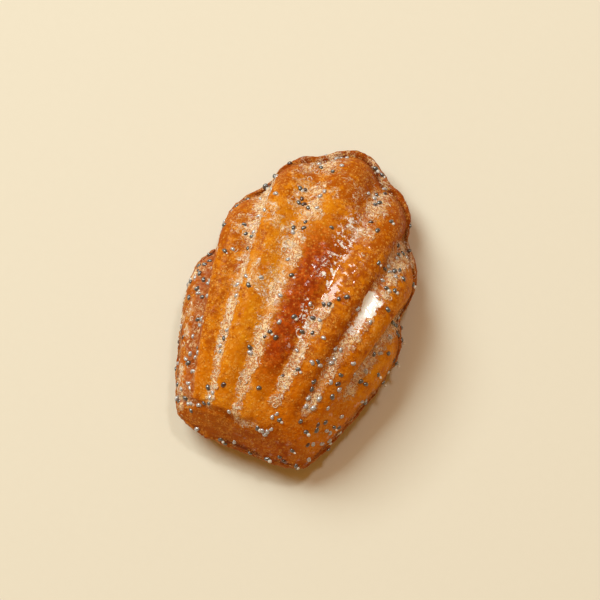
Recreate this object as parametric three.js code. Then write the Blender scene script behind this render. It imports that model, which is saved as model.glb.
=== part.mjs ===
// A madeleine: one small sponge cake, baked in a scallop-shell mould and turned out with its ribbed
// side up. It rests on the low hump that rises on the open side of the mould.
// Millimetres, +Z up. +Y runs from the narrow hinge end to the fanned tip, and the origin lies on the
// surface that the cake stands on, under the middle of its outline.
import * as THREE from "three";

// Driving dimensions
const LENGTH = 76.5; // hinge end to fan tip
const CROWN_HEIGHT = 16.8; // highest point of the ribbed crown above the rim
const RIM_THICKNESS = 1.6; // the thin browned edge between crown and hump
const HUMP_HEIGHT = 5.4; // from the resting surface up to the rim
const FLAT_SHARE = 0.4; // size of the hump's flat spot, as a share of the outline

// Right half of the rim from above, as [from the centre line, from the hinge end].
const HINGE_CORNER = [15.8, 2.2]; // middle of the rounded corner
const HINGE_POWER = 4; // how flat the hinge end stays before it turns into its corners
const SHOULDER = [25, 29.5]; // where the flank ends and the scalloped fan begins
const FLANK_BOW = 1.15; // how far the flank bows out past a straight line
const FLANK_POWER = 4; // how straight the flank stays between its turned ends
const NOTCHES = [
  [22.1, 42.8],
  [17.3, 60.2],
  [7.6, 72],
];
const LOBE_RISES = [2, 3.6, 3, LENGTH - NOTCHES[2][1]]; // how far each lobe stands out, shoulder to tip
const LOBE_POWER = 2.2; // roundness of a lobe
const NOTCH_SOFTNESS = 0.09; // rounding of a notch, as a share of a rib

// The crown's seven ribs. A rib's number is 0 in the middle and 3 at the flank, and halves are grooves.
const GROOVES_AT_HINGE = [0.2, 0.56, 0.84, 1]; // grooves and flank, as shares of the hinge end's half width
const FLANK = 3.5; // rib number of the flank
const GROOVE_DEPTH = 1.5; // in the middle of the crown
const FAN_DEPTH = 0.7; // added towards the fan
const FAN_DEPTH_POWER = 3; // how late on the way to the fan it is added
const GROOVE_SOFTNESS = 0.16; // rounding of a groove's floor, as a share of half a rib
const GROOVES_BEGIN = [2, 18]; // where they start to show and are fully formed, from the hinge end
const FLANK_FADE = 0.3; // how far before the flank they fade out, in rib numbers
const FAN_FADE = 0.06; // and how far before the fan, as a share of a rib's way

// Height along the crown, as [from the hinge end, share of CROWN_HEIGHT].
const CREST = [
  [0, 0],
  [2.4, 0.28],
  [5.4, 0.56],
  [8.6, 0.71],
  [15, 0.87],
  [23, 0.97],
  [31, 1],
  [42, 0.96],
  [54, 0.83],
  [66, 0.64],
  [LENGTH, 0.48],
];
const FAN_WALL_POWER = 9; // how suddenly the ribs end at the fan
const SECTION_POWER = 2.6; // roundness of the crown from side to side
const SECTION_ROOT = 0.55;
const LIP = [0.3, 1.7]; // flat lip outside the crown, at the flanks and at the fan
const HUMP_POWER = 1.7; // roundness of the hump
const HUMP_CENTRE = 36; // from the hinge end
const HUMP_ASPECT = 1.5; // length of the flat spot to its width
const HUMP_EDGE = 0.985; // the hump's outermost ring, as a share of the outline
const HUMP_OUTLINE_FROM = 0.95; // outside this share its rings have the outline's own shape

// Mesh density
const COLUMNS = 56;
const ROWS = 28;
const ROW_CROWDING = 0.75; // how much closer the rows lie at both ends
const HUMP_RINGS = 7;
const RIB_STEP = 0.02; // small steps over which the crown's slope is taken
const SHARE_STEP = 0.004;

const clamp = (v, low, high) => Math.min(high, Math.max(low, v));
const mix = (a, b, share) => a + (b - a) * share;
const smoothstep = (low, high, v) => {
  const share = clamp((v - low) / (high - low), 0, 1);
  return share * share * (3 - 2 * share);
};

// A smooth curve through a table of [place, value].
function along(table, place) {
  const last = table.length - 1;
  const x = clamp(place, table[0][0], table[last][0]);
  let i = 0;
  while (i < last - 1 && x > table[i + 1][0]) {
    i += 1;
  }
  const slope = (k) => {
    const [low, high] = [Math.max(0, k - 1), Math.min(last, k + 1)];
    return (table[high][1] - table[low][1]) / (table[high][0] - table[low][0]);
  };
  const span = table[i + 1][0] - table[i][0];
  const s = (x - table[i][0]) / span;
  const [s2, s3] = [s * s, s * s * s];
  return (
    table[i][1] * (2 * s3 - 3 * s2 + 1) +
    table[i + 1][1] * (3 * s2 - 2 * s3) +
    span * (slope(i) * (s3 - 2 * s2 + s) + slope(i + 1) * (s3 - s2))
  );
}

// A point on the bow from a to b, which stands out by rise to the left of that way.
function bow(a, b, rise, power, share) {
  const chord = Math.hypot(b[0] - a[0], b[1] - a[1]);
  const out = (rise * (1 - Math.abs(2 * share - 1) ** power)) / chord;
  return [mix(a[0], b[0], share) - (b[1] - a[1]) * out, mix(a[1], b[1], share) + (b[0] - a[0]) * out];
}

// Where a rib's line leaves the hinge end, as a share of its half width.
function across(rib) {
  const table = GROOVES_AT_HINGE.map((share, i) => [i + 0.5, share]);
  return Math.sign(rib) * along([[0, 0], ...table], Math.abs(rib));
}

function hingePoint(rib) {
  const share = across(rib);
  return [HINGE_CORNER[0] * share, HINGE_CORNER[1] * Math.abs(share) ** HINGE_POWER];
}

function flankPoint(share) {
  return bow(SHOULDER, HINGE_CORNER, FLANK_BOW, FLANK_POWER, 1 - share);
}

function lobePoint(rib) {
  const tip = NOTCHES[NOTCHES.length - 1];
  const ends = [SHOULDER, ...NOTCHES, [-tip[0], tip[1]]];
  const i = Math.min(LOBE_RISES.length - 1, Math.floor(FLANK - Math.abs(rib)));
  const [x, y] = bow(ends[i + 1], ends[i], LOBE_RISES[i], LOBE_POWER, 1 - (FLANK - Math.abs(rib) - i));
  return [rib < 0 ? -x : x, y];
}

// The scalloped end of a rib's line, with the notches softened.
function fanPoint(rib) {
  const reach = Math.min(NOTCH_SOFTNESS, FLANK - Math.abs(rib));
  const [before, at, after] = [rib - reach, rib, rib + reach].map(lobePoint);
  return [0, 1].map((k) => (before[k] + at[k] + after[k]) / 3);
}

// Where a rib's line passes at a share of its way from the hinge end to the fan, seen from above: the
// four edges of the outline, blended.
function planPoint(rib, share) {
  const side = (1 + across(rib)) / 2;
  const [hinge, fan, flank] = [hingePoint(rib), fanPoint(rib), flankPoint(share)];
  const sides = [flank[0] * (2 * side - 1), flank[1]];
  const cornersHinge = [HINGE_CORNER[0] * (2 * side - 1), HINGE_CORNER[1]];
  const cornersFan = [SHOULDER[0] * (2 * side - 1), SHOULDER[1]];
  const corners = [0, 1].map((k) => mix(cornersHinge[k], cornersFan[k], share));
  return [0, 1].map((k) => mix(hinge[k], fan[k], share) + sides[k] - corners[k]);
}

// The smooth crown that the grooves are cut into.
function domePoint(rib, share) {
  const [x, y] = planPoint(rib, share);
  const fromHinge = y - hingePoint(rib)[1] * (1 - share);
  const fanWall = Math.sqrt(1 - clamp(share / (1 - LIP[1] / LENGTH), 0, 1) ** FAN_WALL_POWER);
  const side = clamp(Math.abs(across(rib)) / (1 - LIP[0] / SHOULDER[0]), 0, 1);
  const section = (1 - side ** SECTION_POWER) ** SECTION_ROOT;
  const height = CROWN_HEIGHT * along(CREST, fromHinge) * fanWall * section;
  return new THREE.Vector3(x, y, HUMP_HEIGHT + RIM_THICKNESS + height);
}

// How deep the crown's surface lies below the crests of the ribs.
function grooveDepth(rib, share, y) {
  const fromGroove = 1 - 2 * Math.abs(rib - Math.round(rib));
  const round = (v) => 1 - Math.sqrt(1 - (1 - v) ** 2);
  const cut = round(Math.min(1, Math.hypot(fromGroove, GROOVE_SOFTNESS))) / round(GROOVE_SOFTNESS);
  const edge = smoothstep(0, FLANK_FADE, FLANK - Math.abs(rib)) * smoothstep(0, FAN_FADE, 1 - share);
  const flankRib = Math.abs(rib) > FLANK - 0.5 ? 0 : 1;
  const deepest = GROOVE_DEPTH + FAN_DEPTH * share ** FAN_DEPTH_POWER;
  return flankRib * cut * edge * deepest * smoothstep(...GROOVES_BEGIN, y);
}

function crownPoint(rib, share) {
  const at = domePoint(rib, share);
  const [left, right] = [Math.max(-FLANK, rib - RIB_STEP), Math.min(FLANK, rib + RIB_STEP)];
  const [near, far] = [Math.max(0, share - SHARE_STEP), Math.min(1, share + SHARE_STEP)];
  const wide = domePoint(right, share).sub(domePoint(left, share));
  const long = domePoint(rib, far).sub(domePoint(rib, near));
  const out = wide.cross(long).normalize();
  const depth = grooveDepth(rib, share, at.y);
  return depth > 0 ? at.addScaledVector(out, -depth) : at;
}

// Rows run from the hinge end to the fan, and lie closer together at both ends.
function rowShare(row) {
  const even = row / ROWS;
  return mix(even, (1 - Math.cos(Math.PI * even)) / 2, ROW_CROWDING);
}

// The edge of the crown's grid, counter-clockwise from above, as indices into its points.
function gridEdge() {
  const wide = COLUMNS + 1;
  const hinge = Array.from({ length: COLUMNS }, (_, c) => c);
  const right = Array.from({ length: ROWS }, (_, r) => r * wide + COLUMNS);
  const fan = Array.from({ length: COLUMNS }, (_, c) => ROWS * wide + COLUMNS - c);
  const left = Array.from({ length: ROWS }, (_, r) => (ROWS - r) * wide);
  return [...hinge, ...right, ...fan, ...left];
}

// A ring of the hump: the outline drawn in towards an oval round the flat spot.
function humpRing(rim, out) {
  const [halfLong, rise] = [LENGTH / 2, ((out - FLAT_SHARE) / (1 - FLAT_SHARE)) ** HUMP_POWER];
  const centre = new THREE.Vector3(0, HUMP_CENTRE, 0);
  return rim.map((p) => {
    const turn = Math.atan2((p.y - HUMP_CENTRE) / HUMP_ASPECT, p.x);
    const oval = new THREE.Vector3(
      (Math.cos(turn) * halfLong) / HUMP_ASPECT,
      HUMP_CENTRE + Math.sin(turn) * halfLong,
      0,
    );
    const edge = oval.lerp(p, smoothstep(FLAT_SHARE, HUMP_OUTLINE_FROM, out));
    return centre.clone().lerp(edge, out).setZ(HUMP_HEIGHT * rise);
  });
}

function madeleineSurface() {
  const points = [];
  const faces = [];
  for (let row = 0; row <= ROWS; row += 1) {
    for (let column = 0; column <= COLUMNS; column += 1) {
      points.push(crownPoint(mix(-FLANK, FLANK, column / COLUMNS), rowShare(row)));
    }
  }
  const quad = (a, b, c, d) => faces.push(a, b, c, a, c, d);
  for (let row = 0; row < ROWS; row += 1) {
    for (let column = 0; column < COLUMNS; column += 1) {
      const a = row * (COLUMNS + 1) + column;
      const [b, c, d] = [a + 1, a + COLUMNS + 2, a + COLUMNS + 1];
      if (column < COLUMNS / 2) quad(b, c, d, a);
      else quad(a, b, c, d);
    }
  }
  let upper = gridEdge();
  const rim = upper.map((i) => points[i].clone().setZ(0));
  const rings = [rim.map((p) => p.clone().setZ(HUMP_HEIGHT))];
  for (let i = 0; i <= HUMP_RINGS; i += 1) {
    rings.push(humpRing(rim, mix(HUMP_EDGE, FLAT_SHARE, i / HUMP_RINGS)));
  }
  for (const ring of rings) {
    const lower = ring.map((_, i) => points.length + i);
    points.push(...ring);
    upper.forEach((a, i) => {
      const next = (i + 1) % upper.length;
      quad(a, lower[i], lower[next], upper[next]);
    });
    upper = lower;
  }
  const bottom = points.push(new THREE.Vector3(0, HUMP_CENTRE, 0)) - 1;
  upper.forEach((a, i) => faces.push(a, bottom, upper[(i + 1) % upper.length]));
  const surface = new THREE.BufferGeometry().setFromPoints(points);
  surface.setIndex(faces);
  surface.computeVertexNormals();
  return surface;
}

function madeleine() {
  const crust = new THREE.MeshStandardMaterial({ color: 0xb96d24, roughness: 0.45, metalness: 0 });
  const cake = new THREE.Mesh(madeleineSurface(), crust);
  cake.name = "madeleine";
  cake.position.y = -LENGTH / 2;
  return cake;
}

const group = new THREE.Group();
group.add(madeleine());

export default group;
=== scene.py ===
import math

import bmesh
import bpy
import numpy as np
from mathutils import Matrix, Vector


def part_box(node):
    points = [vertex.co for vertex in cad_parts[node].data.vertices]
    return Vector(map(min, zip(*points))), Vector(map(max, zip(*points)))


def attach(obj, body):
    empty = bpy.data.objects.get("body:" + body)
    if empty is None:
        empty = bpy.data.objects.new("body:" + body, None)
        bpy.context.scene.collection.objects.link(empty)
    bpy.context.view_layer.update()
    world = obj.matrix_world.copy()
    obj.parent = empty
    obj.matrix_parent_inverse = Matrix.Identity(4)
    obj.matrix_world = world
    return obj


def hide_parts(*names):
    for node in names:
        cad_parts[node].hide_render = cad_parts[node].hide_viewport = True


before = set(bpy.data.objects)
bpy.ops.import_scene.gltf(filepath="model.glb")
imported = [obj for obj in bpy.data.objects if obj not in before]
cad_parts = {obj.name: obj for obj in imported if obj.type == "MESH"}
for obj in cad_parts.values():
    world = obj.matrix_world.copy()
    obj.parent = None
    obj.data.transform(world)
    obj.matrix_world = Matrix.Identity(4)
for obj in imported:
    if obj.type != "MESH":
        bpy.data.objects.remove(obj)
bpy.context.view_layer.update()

scene = bpy.context.scene

# ---------------------------------------------------------------------------------------------
# The cake. One piece of buttery sponge, baked in a tinned scallop-shell mould and knocked out ribbed
# side up. The mould gives the seven ribs and the thin rim, and the batter that rose on the open side
# gives the low hump underneath. The shell is lofted between the four edges of its outline.

MM = 0.001
low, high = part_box("madeleine")
LENGTH = (high.y - low.y) / MM
HINGE_END = low.y / MM  # the narrow end, where the mould's hinge would be
CROWN_HEIGHT = 16.8
RIM_THICKNESS = 1.6
HUMP_HEIGHT = 5.4
FLAT_SHARE = 0.4  # the hump's flat spot, as a share of the outline
HUMP_CENTRE = 36
HUMP_ASPECT = 1.5
HUMP_POWER = 1.7
HINGE_CORNER = (15.8, 2.2)  # middle of the rounded corner, from the centre line and the hinge end
HINGE_POWER = 4
SHOULDER = (25, 29.5)  # where the flank ends and the scalloped fan begins
FLANK_BOW = 1.15
FLANK_POWER = 4
NOTCHES = ((22.1, 42.8), (17.3, 60.2), (7.6, 72))
LOBE_RISES = (2, 3.6, 3, LENGTH - NOTCHES[-1][1])
LOBE_POWER = 2.2
NOTCH_SOFTNESS = 0.09
FLANK = 3.5  # a rib's number is 0 in the middle and 3 at the flank, and halves are grooves
GROOVES_AT_HINGE = ((0, 0), (0.5, 0.2), (1.5, 0.56), (2.5, 0.84), (3.5, 1))
# The crown's height along its middle, from the hinge end, as a share of CROWN_HEIGHT.
CREST = (
    (0, 0), (2.4, 0.28), (5.4, 0.56), (8.6, 0.71), (15, 0.87), (23, 0.97),
    (31, 1), (42, 0.96), (54, 0.83), (66, 0.64), (LENGTH, 0.48),
)
FAN_WALL_POWER = 9
SECTION_POWER = 2.6
SECTION_ROOT = 0.55
LIP = (0.3, 1.7)  # flat lip outside the crown, at the flanks and at the fan
COLUMNS = 210
ROWS = 320
ROW_CROWDING = 0.3
EDGE_RINGS = 7
EDGE_BULGE = 0.3
EDGE_SPAN = 3  # points on each side that the way out from the rim is taken from
HUMP_RINGS = 15
FLAT_RINGS = 6
OVAL_UNTIL = 0.95  # the hump is an oval inside and takes the rim's outline from here outwards


def smoothstep(start, end, value):
    share = np.clip((value - start) / (end - start), 0, 1)
    return share * share * (3 - 2 * share)


def along(table, place):
    """A smooth curve through a table of (place, value)."""
    xs, ys = np.array(table, float).T
    x = np.clip(place, xs[0], xs[-1])
    i = np.clip(np.searchsorted(xs, x, side="left") - 1, 0, len(xs) - 2)
    before = np.concatenate((xs[:1], xs[:-1]))
    after = np.concatenate((xs[1:], xs[-1:]))
    y_before = np.concatenate((ys[:1], ys[:-1]))
    y_after = np.concatenate((ys[1:], ys[-1:]))
    slopes = (y_after - y_before) / (after - before)
    span = xs[i + 1] - xs[i]
    s = (x - xs[i]) / span
    rise = ys[i] * (2 * s**3 - 3 * s**2 + 1) + ys[i + 1] * (3 * s**2 - 2 * s**3)
    return rise + span * (slopes[i] * (s**3 - 2 * s**2 + s) + slopes[i + 1] * (s**3 - s**2))


def bow(a, b, rise, power, share):
    """Points on the bow from a to b that stands out by rise to the left of that way."""
    step = np.array(b, float) - np.array(a, float)
    out = rise * (1 - np.abs(2 * share - 1) ** power) / np.hypot(*step)
    return np.stack((a[0] + step[0] * share - step[1] * out, a[1] + step[1] * share + step[0] * out), -1)


def across(rib):
    """Where a rib's line leaves the hinge end, as a share of its half width."""
    return np.sign(rib) * along(GROOVES_AT_HINGE, np.abs(rib))


def lobe_point(rib):
    ends = [SHOULDER, *NOTCHES, (-NOTCHES[-1][0], NOTCHES[-1][1])]
    from_flank = FLANK - np.abs(rib)
    point = np.zeros(rib.shape + (2,))
    for i, rise in enumerate(LOBE_RISES):
        here = (from_flank >= i) & (from_flank <= i + 1)
        lobe = bow(ends[i + 1], ends[i], rise, LOBE_POWER, 1 - (from_flank - i))
        point[here] = lobe[here]
    point[..., 0] *= np.where(rib < 0, -1, 1)
    return point


def plan_point(rib, share):
    """Where a rib's line passes at a share of its way from hinge end to fan, seen from above."""
    width = across(rib)
    hinge = np.stack((HINGE_CORNER[0] * width, HINGE_CORNER[1] * np.abs(width) ** HINGE_POWER), -1)
    reach = np.minimum(NOTCH_SOFTNESS, FLANK - np.abs(rib))
    fan = (lobe_point(rib - reach) + lobe_point(rib) + lobe_point(rib + reach)) / 3
    flank = bow(SHOULDER, HINGE_CORNER, FLANK_BOW, FLANK_POWER, 1 - share)
    flank[..., 0] *= width
    near = np.stack((HINGE_CORNER[0] * width, np.full_like(width, HINGE_CORNER[1])), -1)
    far = np.stack((SHOULDER[0] * width, np.full_like(width, SHOULDER[1])), -1)
    t = share[..., None]
    return hinge * (1 - t) + fan * t + flank - near * (1 - t) - far * t


def dome_points(rib, share):
    """The smooth crown that the grooves are pressed into."""
    plan = plan_point(rib, share)
    hinge_y = HINGE_CORNER[1] * np.abs(across(rib)) ** HINGE_POWER
    from_hinge = plan[..., 1] - hinge_y * (1 - share)
    fan_wall = np.sqrt(1 - np.clip(share / (1 - LIP[1] / LENGTH), 0, 1) ** FAN_WALL_POWER)
    side = np.clip(np.abs(across(rib)) / (1 - LIP[0] / SHOULDER[0]), 0, 1)
    section = (1 - side**SECTION_POWER) ** SECTION_ROOT
    height = HUMP_HEIGHT + RIM_THICKNESS + CROWN_HEIGHT * along(CREST, from_hinge) * fan_wall * section
    return np.concatenate((plan, height[..., None]), -1)


even = np.linspace(0, 1, ROWS + 1)
row_share = even + ROW_CROWDING * ((1 - np.cos(np.pi * even)) / 2 - even)
rib, share = np.meshgrid(np.linspace(-FLANK, FLANK, COLUMNS + 1), row_share)
crown = dome_points(rib, share)
grid = np.arange(crown.shape[0] * crown.shape[1]).reshape(crown.shape[:2])
edge = np.concatenate((grid[0, :-1], grid[:-1, -1], grid[-1, :0:-1], grid[:0:-1, 0]))
crown = crown.reshape(-1, 3)
rim = crown[edge]
outward = np.roll(rim, -EDGE_SPAN, 0) - np.roll(rim, EDGE_SPAN, 0)
outward = np.stack((outward[:, 1], -outward[:, 0], 0 * outward[:, 0]), -1)
outward /= np.linalg.norm(outward, axis=1)[:, None]
rings = []
for ring in range(1, EDGE_RINGS + 1):
    turn = math.pi * ring / (EDGE_RINGS + 1)
    edge_ring = rim + outward * EDGE_BULGE * math.sin(turn)
    edge_ring[:, 2] = HUMP_HEIGHT + RIM_THICKNESS * (1 + math.cos(turn)) / 2
    rings.append(edge_ring)
for ring in range(HUMP_RINGS + 1):
    out = 1 - (1 - FLAT_SHARE) * (ring / HUMP_RINGS)
    turn = np.arctan2((rim[:, 1] - HUMP_CENTRE) / HUMP_ASPECT, rim[:, 0])
    oval = np.stack((np.cos(turn) / HUMP_ASPECT, np.sin(turn)), -1) * LENGTH / 2
    outline = rim[:, :2] - (0, HUMP_CENTRE)
    plan = oval + (outline - oval) * smoothstep(FLAT_SHARE, OVAL_UNTIL, out)
    level = HUMP_HEIGHT * ((out - FLAT_SHARE) / (1 - FLAT_SHARE)) ** HUMP_POWER
    rings.append(np.column_stack((plan * out + (0, HUMP_CENTRE), np.full(len(rim), level))))
for ring in range(1, FLAT_RINGS + 1):
    inner = rings[EDGE_RINGS + HUMP_RINGS].copy()
    inner[:, :2] = (inner[:, :2] - (0, HUMP_CENTRE)) * (1 - ring / (FLAT_RINGS + 1)) + (0, HUMP_CENTRE)
    rings.append(inner)

around = len(edge)
loops = [edge] + [len(crown) + k * around + np.arange(around) for k in range(len(rings))]
quads = [np.stack((grid[:-1, :-1], grid[:-1, 1:], grid[1:, 1:], grid[1:, :-1]), -1).reshape(-1, 4)]
for upper, lower in zip(loops[:-1], loops[1:]):
    quads.append(np.stack((upper, lower, np.roll(lower, -1), np.roll(upper, -1)), -1))
points = np.concatenate((crown, *rings, [(0, HUMP_CENTRE, 0)]))
last = loops[-1]
fan_faces = np.stack((last, np.full(around, len(points) - 1), np.roll(last, -1)), -1)
points[:, 1] += HINGE_END

cake_mesh = bpy.data.meshes.new("cake")
faces = np.concatenate(quads).tolist() + fan_faces.tolist()
cake_mesh.from_pydata((points * MM).tolist(), [], faces)
cake_mesh.shade_smooth()


def keep_on_points(mesh, name, values):
    attribute = mesh.attributes.new(name, "FLOAT", "POINT")
    attribute.data.foreach_set("value", np.ascontiguousarray(values, np.float32))


under = len(points) - len(crown)
on_crown = np.concatenate((np.ones(len(crown)), np.zeros(under)))
keep_on_points(cake_mesh, "rib", np.concatenate((rib.ravel(), np.zeros(under))))
keep_on_points(cake_mesh, "share", np.concatenate((share.ravel(), np.ones(under))))
keep_on_points(cake_mesh, "crown", on_crown)
below = np.concatenate([np.full(around, (k + 1) / len(rings)) for k in range(len(rings))] + [[1]])
keep_on_points(cake_mesh, "below", np.concatenate((np.zeros(len(crown)), below)))
cake = bpy.data.objects.new("cake", cake_mesh)
scene.collection.objects.link(cake)


class Socket:
    """The output of a node, for use in sums: each sum adds the Math node that it needs."""

    def __init__(self, tree, output):
        self.tree = tree
        self.output = output

    @staticmethod
    def make(tree, kind, settings=None, values=None, output=0):
        """Adds a node: its settings first, then the values or links of its sockets."""
        node = tree.nodes.new(kind)
        for name, setting in (settings or {}).items():
            setattr(node, name, setting)
        for key, value in (values or {}).items():
            if isinstance(key, int):
                socket = node.inputs[key]
            else:
                socket = next(s for s in node.inputs if key in (s.identifier, s.name))
            if isinstance(value, Socket):
                tree.links.new(value.output, socket)
            else:
                socket.default_value = value
        if isinstance(output, int):
            return Socket(tree, node.outputs[output])
        return Socket(tree, next(s for s in node.outputs if output in (s.identifier, s.name)))

    def math(self, operation, *others):
        values = dict(enumerate((self, *others)))
        return Socket.make(self.tree, "ShaderNodeMath", {"operation": operation}, values)

    def back(self, operation, other):
        return Socket.make(self.tree, "ShaderNodeMath", {"operation": operation}, {0: other, 1: self})

    def __add__(self, other):
        return self.math("ADD", other)

    def __sub__(self, other):
        return self.math("SUBTRACT", other)

    def __mul__(self, other):
        return self.math("MULTIPLY", other)

    def __truediv__(self, other):
        return self.math("DIVIDE", other)

    def __pow__(self, other):
        return self.math("POWER", other)

    def __rsub__(self, other):
        return self.back("SUBTRACT", other)

    def __rtruediv__(self, other):
        return self.back("DIVIDE", other)

    def __abs__(self):
        return self.math("ABSOLUTE")

    def __or__(self, other):
        """The greater of two masks, which covers what either of them covers."""
        return self.math("MAXIMUM", other)

    __radd__ = __add__
    __rmul__ = __mul__

    def step(self, start, end):
        """0 below start and 1 above end, with a smooth rise or fall between."""
        places = (start, end, 0, 1) if start < end else (end, start, 1, 0)
        values = dict(zip(("From Min", "From Max", "To Min", "To Max"), places))
        settings = {"interpolation_type": "SMOOTHSTEP"}
        return Socket.make(self.tree, "ShaderNodeMapRange", settings, {"Value": self, **values})

    def scaled(self, factor):
        """A vector made longer or shorter."""
        values = {0: self, "Scale": factor}
        return Socket.make(self.tree, "ShaderNodeVectorMath", {"operation": "SCALE"}, values)

    def moved(self, offset):
        """A vector with another added to it."""
        values = {0: self, 1: offset}
        return Socket.make(self.tree, "ShaderNodeVectorMath", {"operation": "ADD"}, values)

    def noise(self, scale, detail=2.0, roughness=0.5, distortion=0.0):
        """Cloudy noise at this place, centred on a half."""
        values = {"Vector": self, "Scale": scale, "Detail": detail, "Roughness": roughness}
        values["Distortion"] = distortion
        return Socket.make(self.tree, "ShaderNodeTexNoise", {}, values)

    def cells(self, scale, output="Distance"):
        """Distance from this place to the nearest of scattered points, or that point's own colour."""
        values = {"Vector": self, "Scale": scale}
        return Socket.make(self.tree, "ShaderNodeTexVoronoi", {}, values, output)

    def blend(self, first, second):
        """The first colour where this is 0, and the second where it is 1."""
        first, second = (c if isinstance(c, Socket) else (*c, 1) for c in (first, second))
        values = {"Factor_Float": self, "A_Color": first, "B_Color": second}
        settings = {"data_type": "RGBA", "clamp_factor": True}
        return Socket.make(self.tree, "ShaderNodeMix", settings, values, "Result_Color")


def rule_tree(name, inputs):
    """A Geometry Nodes tree with these named sizes, and a way to read each."""
    tree = bpy.data.node_groups.new(name, "GeometryNodeTree")
    tree.interface.new_socket("Geometry", in_out="OUTPUT", socket_type="NodeSocketGeometry")
    tree.interface.new_socket("Geometry", in_out="INPUT", socket_type="NodeSocketGeometry")
    for label, (kind, value) in inputs.items():
        socket = tree.interface.new_socket(label, in_out="INPUT", socket_type="NodeSocket" + kind)
        if value is not None:
            socket.default_value = value
    given = tree.nodes.new("NodeGroupInput")
    return tree, lambda label: Socket(tree, given.outputs[label])


def apply_rule(piece, tree, values):
    """Runs the tree on the piece with these sizes and keeps the result as a plain mesh."""
    modifier = piece.modifiers.new(tree.name, "NODES")
    modifier.node_group = tree
    for item in tree.interface.items_tree:
        if item.in_out == "INPUT" and item.name in values:
            modifier[item.identifier] = values[item.name]
    graph = bpy.context.evaluated_depsgraph_get()
    made = bpy.data.meshes.new_from_object(piece.evaluated_get(graph))
    made.name = piece.name
    piece.modifiers.remove(modifier)
    piece.data = made


def new_material(name):
    """An empty material: its node tree and its surface shader."""
    material = bpy.data.materials.new(name)
    material.use_nodes = True
    tree = material.node_tree
    shader = next(n for n in tree.nodes if n.type == "BSDF_PRINCIPLED")
    return material, tree, shader


def place_on(tree):
    """The place on the piece that is being shaded, in millimetres."""
    return Socket.make(tree, "ShaderNodeTexCoord", {}, {}, "Object").scaled(1 / MM)


def feed(tree, shader, values):
    """Sets the shader's sockets, or links them."""
    for name, value in values.items():
        if isinstance(value, Socket):
            tree.links.new(value.output, shader.inputs[name])
        else:
            shader.inputs[name].default_value = value


# The mould presses the six grooves, and baking roughens the skin: it swells and sinks a little all over,
# rises in small blisters, and the thin rim bakes ragged. The glaze that ran into the grooves dried there.
# Places along the cake count from the hinge end, in millimetres.
LATE_RIGHT = 7  # right of the middle, batter ran over the mould's ribs, and the grooves begin later
LATE_FLANK = 8
POOLS = ((0.52, 36, 57, 0.33), (1.55, 30.5, 45.8, 0.2))  # rib number, start, end, half width
POOL_CORE = 0.35  # the share of its half width over which a pool is full
POOL_TOP = (35, 38)  # beyond this the pools are still wet
WET_RIB = 0.34
GLINT_RIB = 0.36
DRIED_ASIDE = 0.07  # the dried bands lie a little right of the grooves
FILM_RIB = -2.5
LEDGE_AT = 5.2
TIP = (52, 66)
PORE_SCALE = 0.8
relief, size_of = rule_tree(
    "pressed_ribs_and_crust",
    {
        "Groove Depth": ("Float", 0.0),
        "Fan Depth": ("Float", 0.0),
        "Groove Softness": ("Float", 0.16),
        "Swell": ("Float", 0.0),
        "Grain": ("Float", 0.0),
        "Rim Raggedness": ("Float", 0.0),
        "Blister Height": ("Float", 0.0),
        "Ledge Depth": ("Float", 0.0),
        "Pore Depth": ("Float", 0.0),
        "Glaze Thickness": ("Float", 0.0),
        "Material": ("Material", None),
    },
)


def read(tree, name):
    settings = {"data_type": "FLOAT"}
    return Socket.make(tree, "GeometryNodeInputNamedAttribute", settings, {"Name": name})


def kept(tree, geometry, name, value):
    settings = {"data_type": "FLOAT", "domain": "POINT"}
    values = {"Geometry": geometry, "Name": name, "Value": value}
    return Socket.make(tree, "GeometryNodeStoreNamedAttribute", settings, values)


def axes(tree, place):
    """How far a place lies right of the middle, along from the hinge end, and up."""
    x, y, z = (Socket.make(tree, "ShaderNodeSeparateXYZ", {}, {0: place}, axis) for axis in "XYZ")
    return x, y - HINGE_END, z


place = Socket.make(relief, "GeometryNodeInputPosition").scaled(1 / MM)
normal = Socket.make(relief, "GeometryNodeInputNormal")
x_place, y_place, height = axes(relief, place)
rib_number = read(relief, "rib")
way = read(relief, "share")
crown_here = read(relief, "crown")
outer = 1 - abs(rib_number) / FLANK
rim_near = 1 - (1 - way).step(0.004, 0.035) * outer.step(0.01, 0.09) * way.step(0.0, 0.016)
# A groove's section is a rounded V, and Groove Softness blunts its bottom.
from_groove = 1 - 2 * abs(rib_number - rib_number.math("ROUND"))
soft = size_of("Groove Softness")
blunt = (from_groove * from_groove + soft * soft).math("SQRT").math("MINIMUM", 1.0)
hollow = 1 - (1 - (1 - blunt) ** 2).math("SQRT")
hollow_full = 1 - (1 - (1 - soft) ** 2).math("SQRT")
inside = 1 - (abs(rib_number) - 3.0).step(-0.02, 0.02)
edge_fade = (FLANK - abs(rib_number)).step(0, 0.3) * (1 - way).step(0, 0.06)
late = x_place.step(0, 3) * LATE_RIGHT + rib_number.step(2.1, 2.5) * LATE_FLANK
begun = y_place + place.noise(0.09, 0) * 4 - late
depth = size_of("Groove Depth") + size_of("Fan Depth") * way**3
cut = hollow / hollow_full * inside * edge_fade * begun.step(2, 16) * depth * crown_here

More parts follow.
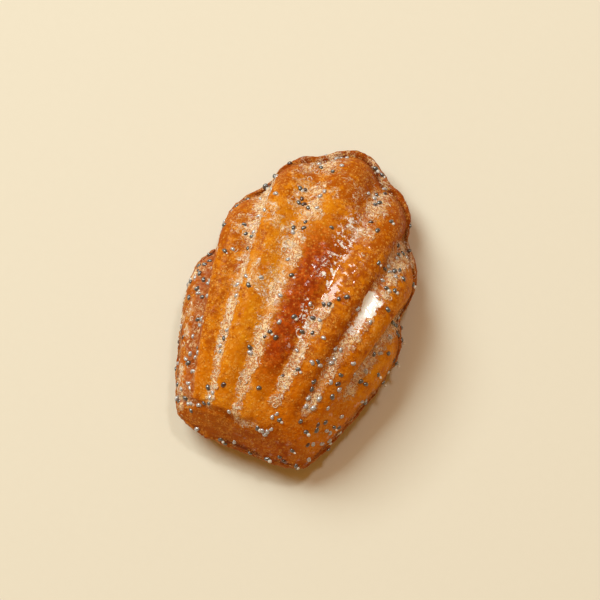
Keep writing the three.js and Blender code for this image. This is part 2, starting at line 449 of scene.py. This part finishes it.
# Clear glaze stands in two pools in the grooves right of the middle, and wets the middle rib's right side.
pools = None
run = y_place + (place.noise(0.35, 3) - 0.5) * 9
for rib_here, pool_from, pool_to, half_wide in POOLS:
    beside = abs(rib_number - rib_here + (place.noise(0.45, 3) - 0.5) * 0.45)
    pool = beside.step(half_wide, half_wide * POOL_CORE) * run.step(pool_from, pool_from + 4)
    pool = pool * run.step(pool_to, pool_to - 5) * crown_here
    pools = pool if pools is None else pools | pool
broken = place.noise(0.6, 2).step(0.48, 0.54)
wet_side = abs(rib_number - WET_RIB).step(0.3, 0.12) * y_place.step(16, 24) * y_place.step(62, 52)
spots = place.noise(0.9, 2).step(0.62, 0.66) * rib_number.step(-0.6, 0.2)
wet = pools * y_place.step(*POOL_TOP) | wet_side * broken * crown_here | spots * crown_here
# Where the crust shader paints white glints, a painted highlight, beside the middle rib.
glints = abs(rib_number - GLINT_RIB).step(0.24, 0.1) * y_place.step(22, 28) * y_place.step(62, 56)

# Where the glaze dried: along the grooves with ragged edges, in lacy clouds on the upper ribs, on the rim
# and along the ledge over the hinge face. The outermost left groove keeps only a thin rosy film.
aside = rib_number - DRIED_ASIDE
ragged = 1 - 2 * abs(aside - aside.math("ROUND")) + (place.noise(0.5, 5, 0.7) - 0.5) * 1.3
groove_band = ragged.step(0.5, 0.1) * inside * begun.step(4, 9) * crown_here
patchy = place.noise(0.17, 2).step(0.36, 0.58)
cloud = place.moved((31, 7, 5)).noise(0.17, 3, 0.6).step(0.45, 0.62) * y_place.step(14, 40)
cloud = cloud * crown_here * (1 - 0.75 * x_place.step(2, 12)) * rib_number.step(-2.4, -1.2)
cloud = cloud * (1 - abs(rib_number - 0.05).step(0.5, 0.3) * y_place.step(56, 48))
cloud = cloud * (1 - 0.45 * y_place.step(54, 62))
ledge = abs(y_place - LEDGE_AT + (place.noise(0.25, 2) - 0.5) * 2.4).step(1.0, 0.3)
ledge = ledge * crown_here * rib_number.step(0.9, -0.4)
on_rim = rim_near * crown_here * place.noise(0.4, 2).step(0.4, 0.6)
left_wall = rib_number.step(-2.6, -3.0) * crown_here
wander = (place.noise(0.5, 3, 0.6) - 0.5) * 0.5
rosy_band = abs(rib_number - FILM_RIB + wander).step(0.5, 0.24) * begun.step(4, 9) * crown_here
frost = groove_band * (0.35 + 0.65 * patchy) * (1 - 0.7 * pools) * (1 - 0.4 * y_place.step(*TIP))
frost = frost | on_rim * 0.36 | ledge * patchy * 0.7
frost = frost | left_wall * place.noise(0.3, 3).step(0.4, 0.6) * 0.75 | rosy_band * 0.75
drawn_up = frost * (1 - rosy_band * 0.75) * (1 - pools)
lacy = (drawn_up | cloud * 0.8) * (1 - pools)

# Seeds gathered where the glaze ran: in the grooves, on the ledge and the rim, and low on the right. A few
# stuck to the open side. The pools washed theirs away.
gathered = place.moved((3, 17, 9)).noise(0.3, 2).step(0.5, 0.58)
in_grooves = groove_band * (0.3 + 0.7 * abs(rib_number + 0.3).step(0.6, 1.2))
tip_rim = rim_near * crown_here * y_place.step(40, 60)
end_rim = rim_near * crown_here * y_place.step(6, 3)
lower_right = x_place.step(2, 6) * y_place.step(34, 28) * crown_here
seedy = in_grooves | tip_rim * 0.7 | ledge * 0.9 | left_wall * 0.3 | end_rim * 0.5
seedy = seedy | rosy_band * 0.8 | lower_right * 0.45
seedy = (0.1 * crown_here + seedy) * (0.09 + 0.91 * gathered) * (1 - pools)
seedy = seedy + (1 - crown_here) * 0.06 * height.step(3, 5)

blisters = place.cells(1.25).step(0.3, 0.1) * place.cells(1.25, "Color").step(0.5, 0.6)
swell = (place.noise(0.11, 2) - 0.5) * 1.6 + (place.noise(0.45, 3, 0.6) - 0.5) * 0.6
grain = place.noise(1.1, 2, 0.6) - 0.5
rag = (place.noise(0.45, 4, 0.65) - 0.5) * rim_near * size_of("Rim Raggedness") * 2
pores = place.cells(PORE_SCALE).step(0.24, 0.05) * place.cells(PORE_SCALE, "Color").step(0.5, 0.55)
keep_flat = height.step(0.0, 0.8)
rough_here = 1 - 0.92 * pools - 0.6 * wet_side * (1 - pools)
shift = (
    swell * size_of("Swell") * rough_here
    + grain * size_of("Grain") * rough_here
    - cut
    - ledge * size_of("Ledge Depth")
    - pores * (1 - crown_here) * size_of("Pore Depth")
    + blisters * size_of("Blister Height") * rough_here * crown_here
    + (groove_band | pools * 0.6) * size_of("Glaze Thickness")
    + rag
)
moved = {"Geometry": size_of("Geometry"), "Offset": normal.scaled(shift * keep_flat * MM)}
shaped = Socket.make(relief, "GeometryNodeSetPosition", {}, moved)
for label, value in {
    "frost": frost,
    "lacy": lacy,
    "curls": (drawn_up - 0.1) * (0.25 + 0.75 * place.noise(0.45, 2).step(0.42, 0.6)),
    "glints": glints * crown_here,
    # the second pool, whose upper end the crust shader paints white as a highlight
    "dried_pool": pools * rib_number.step(0.95, 1.05),
    "wet": wet,
    "film": rosy_band,
    "ledge": ledge,
    "rim": rim_near * crown_here,
    "seedy": seedy,
}.items():
    shaped = kept(relief, shaped, label, value)
solid = Socket.make(relief, "GeometryNodeRealizeInstances", {}, {"Geometry": shaped})
coated = {"Geometry": solid, "Material": size_of("Material")}
coated = Socket.make(relief, "GeometryNodeSetMaterial", {}, coated)
relief.links.new(coated.output, relief.nodes.new("NodeGroupOutput").inputs[0])
crust, tree, shader = new_material("browned_crust")
apply_rule(
    cake,
    relief,
    {
        "Groove Depth": 1.2,
        "Fan Depth": 0.65,
        "Groove Softness": 0.27,
        "Swell": 0.34,
        "Grain": 0.2,
        "Rim Raggedness": 0.6,
        "Blister Height": 0.06,
        "Ledge Depth": 0.42,
        "Pore Depth": 0.35,
        "Glaze Thickness": 0.3,
        "Material": crust,
    },
)

# Crust: sugar and butter browned against the mould. Ribs are golden, the middle one caught the most heat,
# the rim and the hinge face are russet, and the glaze on top is clear where wet and cream where it dried.
# Painted shade darkens some ribs, the ledge, a fold and the pores; painted highlights whiten wet glaze.
DEEP_GOLD = (0.39, 0.08, 0.001)
GOLD = (0.62, 0.185, 0.002)
BRIGHT_GOLD = (0.83, 0.35, 0.01)
TOAST = (0.27, 0.026, 0.0004)
EMBER = (0.5, 0.072, 0.002)
BAKED_ORANGE = (0.66, 0.145, 0.001)
RUSSET = (0.3, 0.05, 0.002)
FILM = (0.54, 0.205, 0.098)
ROSY = (0.4, 0.125, 0.05)
CREVICE_SHADE = (0.13, 0.018, 0.001)
CLUMP = (0.7, 0.56, 0.46)
SUGAR_AND_HIGHLIGHT = (1, 0.97, 0.93)
OPEN_SIDE = (0.5, 0.2, 0.045)
CRUMB = (0.68, 0.36, 0.12)
CREAM = (0.92, 0.66, 0.37)
HONEY = (0.92, 0.47, 0.09)
MIDDLE_RIB = 0.07  # its toasted crest lies a little right of the centre line
place = place_on(tree)
x_place, y_place, height = axes(tree, place)


def painted(name):
    return Socket.make(tree, "ShaderNodeAttribute", {"attribute_name": name}, {}, "Fac")


frost = painted("frost")
lacy = painted("lacy")
wet = painted("wet")
rib_number = painted("rib")
rim_here = painted("rim")
crown_here = painted("crown")
film_here = painted("film")
mottle = place.noise(0.3, 4, 0.6)
fine = place.noise(1.0, 3, 0.65)
sugary = place.moved((5, 2, 8)).noise(1.6, 2, 0.6)

# The ribs: deep gold to bright gold, with painted shade that darkens them right of the middle, at the far
# left and at the tip. They are more orange near the hinge end. The middle one is toasted.
shaded = 0.22 * x_place.step(-2, 8) + 0.24 * x_place.step(-10, -18) + 0.3 * y_place.step(54, 68)
golden = (mottle - 0.5) * 1.15 + (fine - 0.5) * 0.9 + 0.53 - shaded
golden = golden + 0.35 * rib_number.step(1.7, 2.3) + 0.08 * y_place.step(17, 9)
base = golden.step(0.2, 0.5).blend(DEEP_GOLD, GOLD)
base = golden.step(0.5, 0.95).blend(base, BRIGHT_GOLD)
lower_part = y_place.step(26, 10) * 0.4 + x_place.step(0, 10) * y_place.step(46, 26) * 0.2
base = (lower_part * (0.4 + 0.6 * mottle.step(0.35, 0.6))).blend(base, BAKED_ORANGE)
caught = y_place.step(10, 22) * y_place.step(60, 46) * crown_here
middle = abs(rib_number - MIDDLE_RIB + (fine - 0.5) * 0.5).step(0.5, 0.16) * caught
embers = place.noise(0.8, 4, 0.7).step(0.44, 0.64)
base = (middle * 0.95).blend(base, embers.blend(TOAST, EMBER))

# The rim and the hinge face are russet, and so is the open side, whose crumb shows pale and pored.
low_down = height.step(12, 7) * crown_here
hinge_face = y_place.step(6, 4) * crown_here * (1 - 0.4 * rib_number.step(0, 1.5))
underside = 1 - crown_here
darker = low_down | hinge_face | rim_here
base = (darker * (0.2 + 0.8 * fine)).blend(base, RUSSET)
far_under = painted("below").step(0.3, 0.75)
crumb = place.noise(0.5, 4, 0.7).step(0.4, 0.6)
open_side = far_under.blend(RUSSET, OPEN_SIDE)
open_side = (crumb * 0.5).blend(open_side, CRUMB)
base = (underside * (0.75 + 0.5 * (mottle - 0.5))).blend(base, open_side)
# Painted shade: the pores of the open side are darkened.
pores = place.cells(PORE_SCALE).step(0.24, 0.1) * place.cells(PORE_SCALE, "Color").step(0.5, 0.55)
base = (pores * underside * 0.7).blend(base, CREVICE_SHADE)
# Painted shadow: the ledge over the hinge face is darkened with russet.
base = (painted("ledge") * 0.7).blend(base, RUSSET)
# Painted shade: a dark line in the fold between the rim and the crown.
fold_shade = rim_here * (1 - rim_here) * 4 * place.noise(0.25, 2).step(0.38, 0.56)
base = (fold_shade * 0.8).blend(base, CREVICE_SHADE)

# Grains and short dashes of sugar in the crust, honey-coloured.
speck = place.cells(1.05).step(0.34, 0.18) * place.cells(1.05, "Color").step(0.5, 0.56)
pinpoint = place.cells(1.9).step(0.3, 0.16) * place.cells(1.9, "Color").step(0.56, 0.6)
grains = (speck | pinpoint) * (1 - middle * 0.5) * crown_here
dashes = abs(place.moved((6, 1, 3)).noise(1.1, 1.5, 0.5, 1.5) - 0.5).step(0.05, 0.02)
dashes = dashes * place.moved((8, 8, 2)).noise(0.5, 2).step(0.42, 0.58)
dashes = dashes * crown_here * (1 - middle * 0.7) * (1 - wet)
base = (grains * 0.55 | dashes * 0.44).blend(base, HONEY)

# Dried glaze: a rosy film, with threads, clumps and flecks of sugar on it.
dried = (frost + (fine - 0.5) * 0.9 + (sugary - 0.5) * 0.6).step(0.3, 0.75)
rosy = film_here.blend(FILM, fine.step(0.36, 0.6).blend(RUSSET, ROSY))
base = (dried * (0.62 + 0.2 * film_here - 0.5 * film_here * (fine - 0.42))).blend(base, rosy)
lace = abs(place.noise(0.7, 1.5, 0.5, 1.3) - 0.5).step(0.05, 0.026)
curly = abs(place.moved((9, 4, 2)).noise(0.9, 1, 0.5, 1.5) - 0.5).step(0.055, 0.03)
laced = (lacy + (place.noise(0.5, 2) - 0.5) * 0.9).step(0.12, 0.45)
threads = lace * laced | curly * (lacy + (mottle - 0.5) * 0.9).step(0.25, 0.6)
base = ((1 - 0.85 * wet) * threads * (0.56 + 0.4 * dried)).blend(base, CREAM)
clumps = place.moved((2, 7, 4)).noise(0.8, 3, 0.6).step(0.56, 0.66) * lacy.step(0.3, 0.6) * (1 - film_here)
base = (clumps * 0.55).blend(base, CLUMP)
flecks = place.moved((1, 9, 6)).noise(1.3, 2, 0.6).step(0.6, 0.64) * lacy.step(0.2, 0.5) * (1 - wet)
base = (flecks * 0.6).blend(base, SUGAR_AND_HIGHLIGHT)

# Standing glaze: a pool painted white as a highlight at its upper end and netted below, and painted
# glints.
netted = curly | lace | place.noise(1.5, 3, 0.6).step(0.46, 0.54) * 0.6
soft_edge = painted("dried_pool") + (sugary - 0.5) * 0.9 + (fine - 0.5) * 0.5
pool_highlight_and_net = soft_edge.step(0.35, 0.7) * (y_place.step(*POOL_TOP) | netted)
# Painted highlight: the pool's upper end, where the glaze still stands wet, is white.
base = (pool_highlight_and_net * 0.95).blend(base, SUGAR_AND_HIGHLIGHT)
# Painted highlight: white glints on the wet side beside the middle rib.
glint = place.moved((4, 4, 4)).noise(0.75, 4, 0.8).step(0.535, 0.55) * painted("glints")
glint = glint * place.noise(0.2, 1).step(0.42, 0.47)
base = glint.blend(base, SUGAR_AND_HIGHLIGHT)

bump_height = (place.noise(2.2, 3, 0.6) * 0.8 + threads * 0.8 + grains * 0.6) * (1 - 0.8 * wet)
values = {"Strength": 0.8, "Distance": 0.0002, "Height": bump_height}
bump = Socket.make(tree, "ShaderNodeBump", {}, values, "Normal")
feed(
    tree,
    shader,
    {
        "Base Color": base,
        "Roughness": 0.55 + 0.2 * dried,
        "Coat Weight": 0.03 + 0.97 * wet,
        "Coat Roughness": 0.12,
        "Coat IOR": 1.62,
        "Normal": bump,
        "IOR": 1.4,
        "Specular IOR Level": 0.05,
        "Subsurface Weight": 0.06,
        "Subsurface Radius": (1.0, 0.35, 0.1),
        "Subsurface Scale": 0.0012,
    },
)
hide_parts("madeleine")
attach(cake, "root")

# ---------------------------------------------------------------------------------------------
# Poppy seeds. Kidney-shaped, 1.2 to 1.6 mm long, with a net of fine ridges. They were in the batter and
# strewn on the glaze: dry blue-grey ones, ones under a skin of glaze, and ones toasted brown in the crust.

SEED_LENGTH = 1.42
SEED_WIDTH = 1.18
SEED_THICKNESS = 1.0
SEED_SPACING = 1.12
SEEDS_PER_MM2 = 0.78
SEED_NOTCH = 0.22
NOTCH_WIDTH = 0.45
BALL_FINENESS = 2
MOST_GLAZED_OVER = 0.45  # how far thick dried glaze pulls a seed's kind towards glazed
GLAZED_KIND = 0.62
KIND_DRAW, DEPTH_DRAW, TURN_DRAW, SIZE_DRAW = 11, 23, 37, 41


def small_solid(name, shape):
    """A hidden pattern piece: a ball whose points are moved by the shape function, in millimetres."""
    ball = bmesh.new()
    bmesh.ops.create_icosphere(ball, subdivisions=BALL_FINENESS, radius=1)
    for vertex in ball.verts:
        vertex.co = Vector(shape(*vertex.co)) * MM
    mesh = bpy.data.meshes.new(name)
    ball.to_mesh(mesh)
    ball.free()
    mesh.shade_smooth()
    return bpy.data.objects.new(name, mesh)


def kidney(x, y, z):
    waist = math.exp(-((x / NOTCH_WIDTH) ** 2)) * max(0, -y)
    y = y + SEED_NOTCH * 2 * waist
    return x * SEED_LENGTH / 2, y * SEED_WIDTH / 2, z * SEED_THICKNESS / 2


seed_pattern = small_solid("seed_pattern", kidney)

strewn, size_of = rule_tree(
    "strewn_on_the_crust",
    {
        "Cake": ("Object", None),
        "Pattern": ("Object", None),
        "Material": ("Material", None),
        "Where": ("String", "seedy"),
        "Shift": ("Vector", (0.0, 0.0, 0.0)),
        "Spacing": ("Float", 1.0),
        "Most": ("Float", 0.0),
        "Kind From": ("Float", 0.0),
        "Kind To": ("Float", 1.0),
        "Sink": ("Float", 0.0),
        "Tilt": ("Float", 0.0),
        "Smallest": ("Float", 1.0),
        "Largest": ("Float", 1.0),
        "Scatter Seed": ("Int", 0),
    },
)


def chance(tree, kind, least, most, seed):
    """A random value for each point: kind is FLOAT or FLOAT_VECTOR."""
    values = {"Min": least, "Max": most, "Seed": seed}
    node = tree.nodes.new("FunctionNodeRandomValue")
    node.data_type = kind
    for name, value in values.items():
        socket = next(s for s in node.inputs if s.name == name and s.enabled)
        if isinstance(value, Socket):
            tree.links.new(value.output, socket)
        else:
            socket.default_value = value
    return Socket(tree, next(s for s in node.outputs if s.enabled))


def shape_of(tree, label):
    settings = {"transform_space": "ORIGINAL"}
    return Socket.make(tree, "GeometryNodeObjectInfo", settings, {"Object": size_of(label)}, "Geometry")


host = shape_of(strewn, "Cake")
pattern = shape_of(strewn, "Pattern")
where = Socket.make(
    strewn,
    "GeometryNodeDistributePointsOnFaces",
    {"distribute_method": "POISSON"},
    {
        "Mesh": host,
        "Distance Min": size_of("Spacing") * MM,
        "Density Max": size_of("Most") / MM**2,
        "Density Factor": read(strewn, size_of("Where")),
        "Seed": size_of("Scatter Seed"),
    },
    "Points",
)
spread = where.output.node
up_from_crust = Socket(strewn, spread.outputs["Normal"])
facing = Socket(strewn, spread.outputs["Rotation"])
glazed_over = read(strewn, "frost") * MOST_GLAZED_OVER
kind = chance(strewn, "FLOAT", 0.0, 1.0, KIND_DRAW) * (1 - glazed_over) + GLAZED_KIND * glazed_over
chosen = kind.math("GREATER_THAN", size_of("Kind From")) * kind.math("LESS_THAN", size_of("Kind To"))
depth_down = size_of("Sink") * chance(strewn, "FLOAT", 0.5, 1.3, DEPTH_DRAW)
offset = up_from_crust.scaled(depth_down * -MM).moved(size_of("Shift").scaled(MM))
sunk = Socket.make(strewn, "GeometryNodeSetPosition", {}, {"Geometry": where, "Offset": offset})
tilt = size_of("Tilt")
least_turn = {"X": 0 - tilt, "Y": 0 - tilt, "Z": -math.pi}
least_turn = Socket.make(strewn, "ShaderNodeCombineXYZ", {}, least_turn)
most_turn = {"X": tilt, "Y": tilt, "Z": math.pi}
most_turn = Socket.make(strewn, "ShaderNodeCombineXYZ", {}, most_turn)
turned = Socket.make(
    strewn,
    "FunctionNodeRotateRotation",
    {"rotation_space": "LOCAL"},
    {
        "Rotation": facing,
        "Rotate By": chance(strewn, "FLOAT_VECTOR", least_turn, most_turn, TURN_DRAW),
    },
)
placed = Socket.make(
    strewn,
    "GeometryNodeInstanceOnPoints",
    {},
    {
        "Points": sunk,
        "Selection": chosen,
        "Instance": pattern,
        "Rotation": turned,
        "Scale": chance(strewn, "FLOAT", size_of("Smallest"), size_of("Largest"), SIZE_DRAW),
    },
)
solid = Socket.make(strewn, "GeometryNodeRealizeInstances", {}, {"Geometry": placed})
coated = {"Geometry": solid, "Material": size_of("Material")}
coated = Socket.make(strewn, "GeometryNodeSetMaterial", {}, coated)
strewn.links.new(coated.output, strewn.nodes.new("NodeGroupOutput").inputs[0])


def strew(name, pattern, material, values):
    """Scatters the pattern over the cake as one piece, at a seed's spacing if no other is given."""
    piece = bpy.data.objects.new(name, bpy.data.meshes.new(name))
    scene.collection.objects.link(piece)
    given = {"Cake": cake, "Pattern": pattern, "Material": material, "Scatter Seed": 5}
    apply_rule(piece, strewn, {**given, "Spacing": SEED_SPACING, "Most": SEEDS_PER_MM2, **values})
    piece.data.shade_smooth()
    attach(piece, "root")


def seed_material(name, dark, pale, coat, roughness):
    material, tree, shader = new_material(name)
    place = place_on(tree)
    net = place.cells(5.0).step(0.25, 0.6)
    colour = (net * 0.5 + place.noise(0.8, 2) * 0.6 - 0.1).blend(dark, pale)
    values = {"Strength": 0.4, "Distance": 0.00005, "Height": net}
    bump = Socket.make(tree, "ShaderNodeBump", {}, values, "Normal")
    finish = {"Base Color": colour, "Roughness": roughness, "Normal": bump}
    feed(tree, shader, {**finish, "Coat Weight": coat, "Coat Roughness": 0.16, "Coat IOR": 2.3})
    return material


DRY, GLAZED, TOASTED = (0.0, 0.47), (0.47, 0.87), (0.87, 1.0)
blue_grey = seed_material("poppy_seed_dry", (0.01, 0.009, 0.011), (0.1, 0.097, 0.106), 0.8, 0.45)
grey_glaze = seed_material("poppy_seed_under_glaze", (0.16, 0.155, 0.17), (0.62, 0.6, 0.62), 1.0, 0.3)
brown = seed_material("poppy_seed_toasted", (0.022, 0.004, 0.002), (0.09, 0.018, 0.008), 0.5, 0.45)
sizes = {"Smallest": 0.86, "Largest": 1.12, "Tilt": 0.45}
for name, share_of_seeds, material, sink in (
    ("poppy_seeds_dry", DRY, blue_grey, 0.06),
    ("poppy_seeds_under_glaze", GLAZED, grey_glaze, 0.12),
    ("poppy_seeds_toasted", TOASTED, brown, 0.2),
):
    kinds = {"Kind From": share_of_seeds[0], "Kind To": share_of_seeds[1], "Sink": sink}
    strew(name, seed_pattern, material, {**kinds, **sizes})

# ---------------------------------------------------------------------------------------------
# Glaze. Sugar and water, brushed on hot. Beads of it stand beside some of the seeds, pale as a painted
# glint, and where it dried it drew itself up into curls of sugar thread, a quarter of a millimetre thick.

BESIDE_SEED = 0.85  # how far a bead's middle lies from the seed's
BESIDE_TURN = math.radians(-25)
BEAD_HALF = (0.55, 0.48, 0.4)


def bead(x, y, z):
    return x * BEAD_HALF[0], y * BEAD_HALF[1], z * BEAD_HALF[2]


def curl(name, radius, turn, drift):
    """A hidden pattern piece: a bent sugar thread that is thickest in its middle."""
    steps, sides, half_thick = 9, 4, 0.14
    waviness, waves = 0.05, 7
    share = np.linspace(0, 1, steps)
    angle = turn * share
    reach = radius * (1 + drift * share)
    path = np.stack((reach * np.cos(angle), reach * np.sin(angle), waviness * np.sin(waves * share)), -1)
    path -= path.mean(0)
    out = np.stack((np.cos(angle), np.sin(angle), 0 * angle), -1)
    wide = half_thick * (0.45 + 0.55 * np.sin(np.pi * share))[:, None, None]
    corner = 2 * np.pi * np.arange(sides) / sides
    section = np.cos(corner)[:, None] * out[:, None] + np.sin(corner)[:, None] * np.array((0, 0, 1))
    points = (path[:, None] + wide * section).reshape(-1, 3)
    faces = [(sides - 1, 2, 1, 0), tuple(range((steps - 1) * sides, steps * sides))]
    for i in range(steps - 1):
        for k in range(sides):
            after = (k + 1) % sides
            here, ahead = i * sides, (i + 1) * sides
            faces.append((here + k, here + after, ahead + after, ahead + k))
    mesh = bpy.data.meshes.new(name)
    mesh.from_pydata((points * MM).tolist(), [], faces)
    shell = bmesh.new()
    shell.from_mesh(mesh)
    bmesh.ops.recalc_face_normals(shell, faces=shell.faces)
    shell.to_mesh(mesh)
    shell.free()
    return bpy.data.objects.new(name, mesh)


def glaze_material(name, colour, opacity, roughness):
    material, tree, shader = new_material(name)
    place = place_on(tree)
    deeper = tuple(0.72 * channel for channel in colour)
    shade = place.noise(1.4, 2).step(0.35, 0.65).blend(deeper, colour)
    finish = {"Base Color": shade, "Roughness": roughness, "Alpha": opacity}
    feed(tree, shader, {**finish, "Coat Weight": 0.3})
    return material


# Painted glint: the beads are near-white, standing in for light caught by clear glaze beside the seeds.
glint_beads_glaze = glaze_material("clear_glaze", (0.97, 0.92, 0.84), 0.78, 0.12)
dry_sugar = glaze_material("dried_sugar", (0.97, 0.76, 0.54), 0.9, 0.4)
bead_shift = (BESIDE_SEED * math.cos(BESIDE_TURN), BESIDE_SEED * math.sin(BESIDE_TURN), 0)
beaded = {"Kind From": 0.1, "Kind To": 0.24, "Sink": 0.02, "Shift": bead_shift}
sizes = {"Smallest": 0.5, "Largest": 1.05}
strew("glaze_beads", small_solid("bead_pattern", bead), glint_beads_glaze, {**beaded, **sizes})
for name, radius, turn, drift, kind_from, kind_to in (
    ("sugar_loops", 0.46, 5.2, 0.15, 0.0, 0.4),
    ("sugar_hooks", 0.52, 3.4, -0.3, 0.4, 0.75),
    ("sugar_strands", 1.1, 1.1, 0.3, 0.75, 1.0),
):
    laid = {"Where": "curls", "Spacing": 0.55, "Most": 1.3, "Tilt": 0.12, "Scatter Seed": 8}
    kinds = {"Kind From": kind_from, "Kind To": kind_to, "Smallest": 0.7, "Largest": 1.15}
    thread = curl(name + "_pattern", radius, turn, drift)
    strew(name, thread, dry_sugar, {**laid, **kinds})

# ---------------------------------------------------------------------------------------------
# Floor, light and camera: a plain cream table top under soft light from the left.

FLOOR_HALF = 1.0  # this section's sizes are in metres
TABLE_DARK = (0.80, 0.75, 0.635)
TABLE_PALE = (0.815, 0.765, 0.65)
floor_mesh = bpy.data.meshes.new("floor")
corners = [(x * FLOOR_HALF, y * FLOOR_HALF, 0) for x, y in ((-1, -1), (1, -1), (1, 1), (-1, 1))]
floor_mesh.from_pydata(corners, [], [(0, 1, 2, 3)])
floor = bpy.data.objects.new("floor", floor_mesh)
scene.collection.objects.link(floor)
table, tree, shader = new_material("table_top")
place = place_on(tree)
shade = place.noise(0.5, 4).blend(TABLE_DARK, TABLE_PALE)
feed(tree, shader, {"Base Color": shade, "Roughness": 0.9, "Specular IOR Level": 0.2})
floor_mesh.materials.append(table)

AZIMUTH = math.radians(22.5)
ELEVATION = math.radians(79)
DISTANCE = 0.6
SENSOR = 36
VIEW_WIDTH = 0.1398  # what the camera takes in at the cake
VIEW_MIDDLE = (-0.0003, -0.0008)  # right and up of the cake's middle
CAKE_MIDDLE = 0.01
back = Vector((
    math.sin(AZIMUTH) * math.cos(ELEVATION),
    -math.cos(AZIMUTH) * math.cos(ELEVATION),
    math.sin(ELEVATION),
))
right = Vector((math.cos(AZIMUTH), math.sin(AZIMUTH), 0))
up = back.cross(right)


def soft_light(name, way, distance, size, watts, colour):
    """A square soft box. The way to it is (right, up, towards the viewer) as the camera sees it."""
    lamp = bpy.data.lights.new(name, "AREA")
    lamp.size = size
    lamp.energy = watts
    lamp.color = colour
    light = bpy.data.objects.new(name, lamp)
    towards = (right * way[0] + up * way[1] + back * way[2]).normalized()
    light.location = towards * distance
    light.rotation_euler = towards.to_track_quat("Z", "Y").to_euler()
    scene.collection.objects.link(light)


soft_light("key", (-0.58, 0.78, 0.76), 2.2, 1.2, 50.5, (0.86, 0.96, 0.93))
soft_light("window", (0.24, 0.58, 0.8), 1.6, 0.19, 4.1, (1, 1, 1))
world = bpy.data.worlds.new("studio")
world.use_nodes = True
background = world.node_tree.nodes["Background"]
background.inputs["Color"].default_value = (1, 0.52, 0.13, 1)
background.inputs["Strength"].default_value = 0.34
scene.world = world
scene.view_settings.view_transform = "Standard"

camera_data = bpy.data.cameras.new("camera")
camera_data.sensor_width = SENSOR
camera_data.lens = SENSOR * DISTANCE / VIEW_WIDTH
camera = bpy.data.objects.new("camera", camera_data)
target = Vector((0, 0, CAKE_MIDDLE)) + right * VIEW_MIDDLE[0] + up * VIEW_MIDDLE[1]
camera.location = target + back * DISTANCE
camera.rotation_euler = back.to_track_quat("Z", "Y").to_euler()
scene.collection.objects.link(camera)
scene.camera = camera

bpy.context.view_layer.update()
